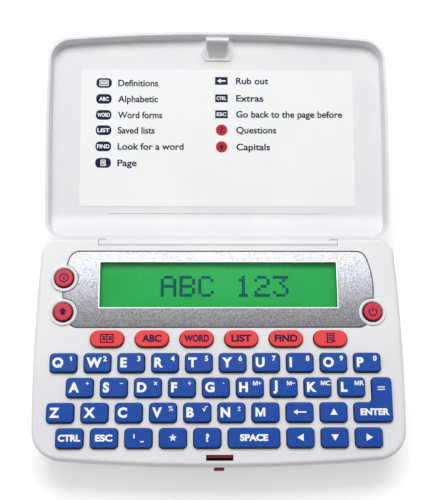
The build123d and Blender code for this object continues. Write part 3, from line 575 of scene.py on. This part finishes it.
legend = key_print("key_info")
legend.ring(0.0, 0.0, 1.3, 1.75)
legend.bar(-0.26, -0.85, 0.26, 0.35)
legend.disc(0.0, 0.75, 0.28, 16)
legend.finish("legend_info", legend_navy, "key_info")
legend = key_print("key_shift")
legend.arrow(0.0, 0.0, 90, tip=1.5, neck=0.05, tail=-1.25, half_head=1.55, half_shaft=0.8)
legend.finish("legend_shift", legend_navy, "key_shift")
legend = key_print("key_power")
legend.ring(0.0, -0.15, 1.2, 1.62, 125.0, 415.0)
legend.bar(-0.22, 0.0, 0.22, 1.6)
legend.finish("legend_power", legend_navy, "key_power")

# ---------------------------------------------------------------- characters on the display
dot_letters = {
    "A": ("01110", "10001", "10001", "11111", "10001", "10001", "10001"),
    "B": ("11110", "10001", "10001", "11110", "10001", "10001", "11110"),
    "C": ("01110", "10001", "10000", "10000", "10000", "10001", "01110"),
    "1": ("00100", "01100", "00100", "00100", "00100", "00100", "01110"),
    "2": ("01110", "10001", "00001", "00110", "01000", "10000", "11111"),
    "3": ("11111", "00010", "00100", "00010", "00001", "10001", "01110"),
    " ": ("00000",) * 7,
}
glass_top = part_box("lcd_module")[1][2]
window_low, window_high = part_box("display_window")
window_middle = ((window_low[0] + window_high[0]) / 2, (window_low[1] + window_high[1]) / 2)
screen = Print(Matrix.Translation((window_middle[0], window_middle[1], glass_top + 0.00001)), 0.04)
PITCH, DOT, TEXT_SHIFT = 0.57, 0.545, 2.3
ZOOM = 2  # every dot of a character is a square of ZOOM by ZOOM dots
ADVANCE, LINES = 6 * ZOOM, 7 * ZOOM  # from one character to the next, and a character's height
text = "ABC 123"
columns = len(text) * ADVANCE - ZOOM
for place, character in enumerate(text):
    for row, line in enumerate(dot_letters[character]):
        for column, lit in enumerate(line):
            if lit == "1":
                for dot in range(ZOOM**2):
                    dot_column = place * ADVANCE + column * ZOOM + dot % ZOOM
                    dot_line = row * ZOOM + dot // ZOOM
                    x = (dot_column - (columns - 1) / 2) * PITCH + TEXT_SHIFT
                    y = ((LINES - 1) / 2 - dot_line) * PITCH
                    screen.bar(x - DOT / 2, y - DOT / 2, x + DOT / 2, y + DOT / 2)
screen.finish("display_characters", lcd_dots, "base")

# ---------------------------------------------------------------- bright metal strip round the display opening, a painted highlight of its bevel
RIM, RIM_HEIGHT, RIM_PLAY = 0.34, 0.02, 0.02
PANE_BORDER = 2.0  # the pane reaches this far under the surround
CROWN = 0.7  # the surround's face falls by this much from its middle to its front and rear
silver_low, silver_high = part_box("display_bezel")


def crown(y):
    """Height of the surround's crowned face."""
    middle, half = (silver_low[1] + silver_high[1]) / 2, (silver_high[1] - silver_low[1]) / 2
    return silver_high[2] - CROWN * MM * ((y - middle) / half) ** 2


rim = Print(Matrix.Translation((*window_middle, 0.0)), RIM_HEIGHT)
half_x, half_y = (
    (window_high[axis] - window_low[axis]) / 2 / MM - PANE_BORDER + RIM_PLAY for axis in (0, 1)
)
rim.bar(-half_x - RIM, -half_y - RIM, half_x + RIM, -half_y)
rim.bar(-half_x - RIM, half_y, half_x + RIM, half_y + RIM)
STEPS = 10
for step in range(STEPS):
    y0, y1 = (half_y * (2 * edge / STEPS - 1) for edge in (step, step + 1))
    rim.bar(-half_x - RIM, y0, -half_x, y1)
    rim.bar(half_x, y0, half_x + RIM, y1)
rim.finish("display_opening_highlight", highlight_silver, "base", lift=crown)

# ---------------------------------------------------------------- collars of the round keys
def turned_ring(name, profile, centre, material, body, steps=72):
    """Ring turned from a closed profile of radius and height pairs, in millimetres."""
    ring = bmesh.new()
    loops = []
    for step in range(steps):
        a = 2 * math.pi * step / steps
        across, along = math.cos(a), math.sin(a)
        loops.append([ring.verts.new((radius * across, radius * along, z)) for radius, z in profile])
    for step in range(steps):
        here, after = loops[step], loops[(step + 1) % steps]
        for index in range(len(profile)):
            following = (index + 1) % len(profile)
            ring.faces.new([here[index], after[index], after[following], here[following]])
    bmesh.ops.recalc_face_normals(ring, faces=ring.faces[:])
    for face in ring.faces:
        face.smooth = True
    mesh = bpy.data.meshes.new(name)
    ring.to_mesh(mesh)
    ring.free()
    mesh.transform(Matrix.Translation(centre) @ Matrix.Scale(MM, 4))
    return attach(link(name, mesh, material), body)


COLLAR = (
    (3.6, -1.4),
    (3.65, -0.6),
    (3.85, -0.15),
    (4.15, 0.05),
    (4.7, 0.08),
    (4.95, -0.08),
    (5.02, -0.5),
    (5.02, -1.4),
)
for key in rounds:
    low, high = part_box(key)
    x, y = (low[0] + high[0]) / 2, (low[1] + high[1]) / 2
    place = Vector((x, y, crown(y)))
    turned_ring(key.replace("key_", "collar_"), COLLAR, place, case_white, "base")

# ---------------------------------------------------------------- label in the lid
hinge = next(joint for joint in frame["joints"] if joint["name"] == "lid_hinge")
tilt = math.radians(180.0 - hinge["range_deg"][1])
lid_matrix = Matrix.Translation(hinge["pos_m"]) @ Matrix.Rotation(tilt, 4, "X")
FLOOR = -5.8  # the lid's floor from the hinge axis, across the open lid


def lid_print(height, thickness=0.03):
    return Print(lid_matrix @ Matrix.Translation((0, 0, (FLOOR + height) * MM)), thickness)


LABEL_THICKNESS = 0.15
LABEL_MIDDLE, LABEL_WIDTH, LABEL_DEPTH, LABEL_CORNER = 42.0, 103.8, 53.4, 1.6
BADGE_X, BADGE_WORD_X = -43.2, -37.8
BADGE_WIDTH, BADGE_HEIGHT, BADGE_CORNER = 5.9, 3.8, 1.6
SIGN_X, SIGN_WORD_X = 1.6, 7.2
SIGN_WIDTH, SIGN_HEIGHT, DISC_RADIUS = 4.8, 3.1, 2.2
LABEL_CAP, LABEL_WEIGHT = 2.45, 0.022
INK, OVERPRINT = 0.005, 0.04  # heights of the printing and of what is printed on it
label = lid_print(0.0, LABEL_THICKNESS)
label.rounded(0.0, LABEL_MIDDLE, LABEL_WIDTH, LABEL_DEPTH, LABEL_CORNER)
label.finish("lid_label", label_film, "lid")

badges = lid_print(LABEL_THICKNESS + INK)
badge_text = lid_print(LABEL_THICKNESS + OVERPRINT)
words = lid_print(LABEL_THICKNESS + INK)
left_rows = (
    (63.4, "", "Definitions", 15.2),
    (57.1, "ABC", "Alphabetic", 15.2),
    (50.8, "WORD", "Word forms", 16.8),
    (44.8, "LIST", "Saved lists", 14.0),
    (38.5, "FIND", "Look for a word", 25.0),
    (32.1, "", "Page", 7.3),
)
for u, short, meaning, width in left_rows:
    badges.rounded(BADGE_X, u, BADGE_WIDTH, BADGE_HEIGHT, BADGE_CORNER)
    if short:
        badge_text.word(short, BADGE_X, u, 1.4, width=min(4.7, 1.2 * len(short)))
    words.word(meaning, BADGE_WORD_X, u, LABEL_CAP, LABEL_WEIGHT, width, left=True, centred=False)
open_book(badge_text, BADGE_X, left_rows[0][0], 0.8, 0.3)
written_page(badge_text, BADGE_X, left_rows[-1][0], 0.72, 0.28)
right_rows = (
    (64.4, "", "Rub out", 12.4),
    (57.5, "CTRL", "Extras", 10.4),
    (51.2, "ESC", "Go back to the page before", 40.5),
    (45.0, "", "Questions", 15.2),
    (38.4, "", "Capitals", 12.8),
)
for u, short, meaning, width in right_rows[:3]:
    left, right = SIGN_X - SIGN_WIDTH / 2, SIGN_X + SIGN_WIDTH / 2
    badges.bar(left, u - SIGN_HEIGHT / 2, right, u + SIGN_HEIGHT / 2)
    if short:
        badge_text.word(short, SIGN_X, u, 1.3, width=3.7)
for u, short, meaning, width in right_rows:
    words.word(meaning, SIGN_WORD_X, u, LABEL_CAP, LABEL_WEIGHT, width, left=True, centred=False)
rub_out_row, question_row, capitals_row = (right_rows[index][0] for index in (0, 3, 4))
badge_text.arrow(SIGN_X, rub_out_row, 180, tip=1.7, neck=0.3, tail=-1.6, half_head=0.9, half_shaft=0.3)
discs = lid_print(LABEL_THICKNESS + INK)
for u in (question_row, capitals_row):
    discs.disc(SIGN_X, u, DISC_RADIUS)
marks = lid_print(LABEL_THICKNESS + OVERPRINT)
marks.arrow(SIGN_X, capitals_row, 90, tip=1.0, neck=0.1, tail=-0.9, half_head=1.0, half_shaft=0.5)
marks.word("?", SIGN_X, question_row, 2.2)
badges.finish("label_badges", ink_navy, "lid")
badge_text.finish("label_badge_text", legend_white, "lid")
words.finish("label_words", ink_navy, "lid")
discs.finish("label_discs", ink_red, "lid")
marks.finish("label_marks", ink_navy, "lid")


# ---------------------------------------------------------------- table, light and camera
def stage_material():
    material, tree, shader = new_material("table_white")
    tree.nodes.remove(shader)
    output = tree.nodes["Material Output"]
    paper = tree.nodes.new("ShaderNodeBsdfDiffuse")
    paper.inputs["Color"].default_value = (0.86, 0.86, 0.86, 1.0)
    glow = tree.nodes.new("ShaderNodeEmission")
    glow.inputs["Color"].default_value = (1.0, 1.0, 1.0, 1.0)
    path = tree.nodes.new("ShaderNodeLightPath")
    seen = tree.nodes.new("ShaderNodeMath")
    seen.operation = "MAXIMUM"
    tree.links.new(path.outputs["Is Camera Ray"], seen.inputs[0])
    tree.links.new(path.outputs["Is Glossy Ray"], seen.inputs[1])
    strength = span(tree, seen.outputs["Value"], 0.0, 1.0, 0.0, 0.35)
    tree.links.new(strength, glow.inputs["Strength"])
    both = tree.nodes.new("ShaderNodeAddShader")
    tree.links.new(paper.outputs["BSDF"], both.inputs[0])
    tree.links.new(glow.outputs["Emission"], both.inputs[1])
    tree.links.new(both.outputs["Shader"], output.inputs["Surface"])
    return material


plane = bpy.data.meshes.new("table")
grid = bmesh.new()
bmesh.ops.create_grid(grid, x_segments=1, y_segments=1, size=3.0)
grid.to_mesh(plane)
grid.free()
table = link("table", plane, stage_material())
table.location.z = -0.0001

world = bpy.data.worlds.new("studio")
scene.world = world
world.use_nodes = True
sky = world.node_tree.nodes["Background"]
sky_tree = world.node_tree
ray = sky_tree.nodes.new("ShaderNodeTexCoord")
parts = sky_tree.nodes.new("ShaderNodeSeparateXYZ")
sky_tree.links.new(ray.outputs["Generated"], parts.inputs["Vector"])
SKY_FRONT, SKY_REAR = 0.21, 0.59
glow = span(sky_tree, parts.outputs["Y"], -1.0, 1.0, SKY_FRONT, SKY_REAR)
sky_tree.links.new(glow, sky.inputs["Strength"])
sky.inputs["Color"].default_value = (1.0, 1.0, 1.0, 1.0)


def lamp(name, place, aim, size, power):
    light = bpy.data.lights.new(name, "AREA")
    light.shape = "RECTANGLE"
    light.size, light.size_y = size
    light.energy = power
    holder = bpy.data.objects.new(name, light)
    scene.collection.objects.link(holder)
    holder.location = place
    holder.rotation_euler = (Vector(aim) - Vector(place)).to_track_quat("-Z", "Y").to_euler()


lamp("softbox_rear", (-0.02, 0.50, 0.85), (0.0, 0.03, 0.0), (0.8, 0.45), 6.2)
lamp("softbox_left", (-0.8, -0.1, 0.9), (0.0, 0.0, 0.0), (0.6, 0.6), 1.4)

camera = bpy.data.cameras.new("camera")
camera.sensor_width = 36.0
FOCAL, PICTURE_HEIGHT = 1142.1, 500.0  # pixels
CAMERA_PLACE = (-0.010487, -0.087324, 0.418392)
camera.lens = FOCAL * camera.sensor_width / PICTURE_HEIGHT
camera.clip_start = 0.01
holder = bpy.data.objects.new("camera", camera)
scene.collection.objects.link(holder)
elevation, heading, roll = math.radians(72.698), math.radians(4.777), math.radians(4.599)
forward = Vector(
    (
        math.sin(heading) * math.cos(elevation),
        math.cos(heading) * math.cos(elevation),
        -math.sin(elevation),
    )
)
level_right = Vector((math.cos(heading), -math.sin(heading), 0.0))
level_up = level_right.cross(forward)
right = math.cos(roll) * level_right + math.sin(roll) * level_up
up = math.cos(roll) * level_up - math.sin(roll) * level_right
turn = Matrix((right, up, -forward)).transposed().to_4x4()
holder.matrix_world = Matrix.Translation(CAMERA_PLACE) @ turn
scene.camera = holder
scene.view_settings.view_transform = "Standard"
